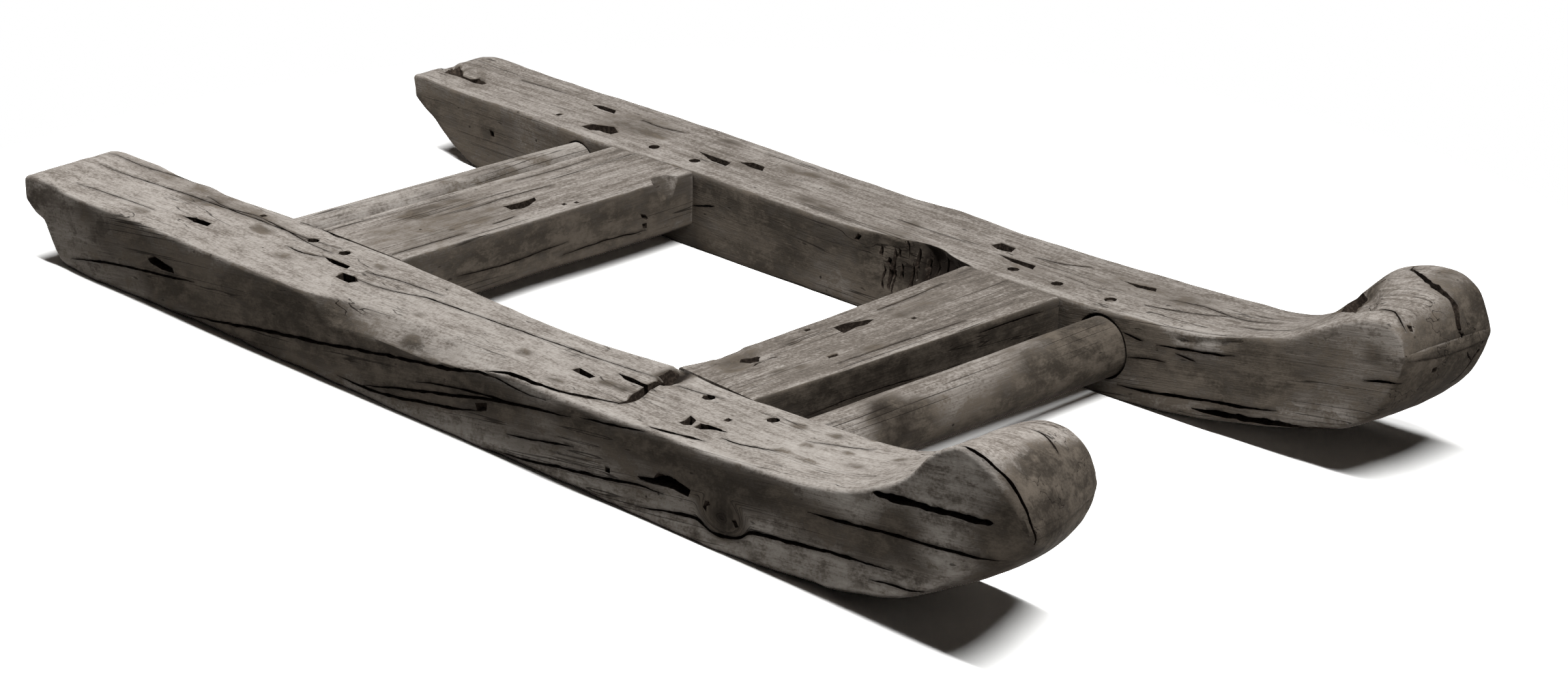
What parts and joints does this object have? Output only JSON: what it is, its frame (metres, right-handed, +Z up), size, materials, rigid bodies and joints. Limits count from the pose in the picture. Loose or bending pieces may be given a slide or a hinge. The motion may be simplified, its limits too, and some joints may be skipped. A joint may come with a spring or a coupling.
{
  "type": "wooden sled",
  "caption": "Low hewn timber sled: upturned runners joined by tenoned plank cross beams and round bars, slotted for lashing a hauled load.",
  "frame": {"origin": "on the floor, under the middle of the sled's bounding box", "axes": "-Y towards the front, where the noses turn up; +X the sled's left; +Z up from the floor"},
  "size_m": [0.76, 1.7271, 0.2232],
  "materials": {
    "hewn_timber": "old bare grey-brown timber, cracked and worn, matt",
    "plank_timber": "old bare grey-brown plank, worn smooth on top, matt",
    "pole_timber": "old bare round pole, rubbed smooth, matt",
    "peg_timber": "dark end grain, matt"
  },
  "bodies": {
    "root": {"runner_right": "hewn_timber", "runner_left": "hewn_timber", "cross_beam_front": "plank_timber", "cross_beam_rear": "plank_timber", "round_bar_front": "pole_timber", "round_bar_rear": "pole_timber", "peg_rear_beam_right_1": "peg_timber", "peg_rear_beam_right_2": "peg_timber", "peg_rear_beam_left_1": "peg_timber", "peg_rear_beam_left_2": "peg_timber", "peg_front_beam_right_1": "peg_timber", "peg_front_beam_left_1": "peg_timber", "peg_front_beam_left_2": "peg_timber", "peg_front_bar_right_1": "peg_timber", "peg_front_bar_left_1": "peg_timber"}
  },
  "joints": []
}
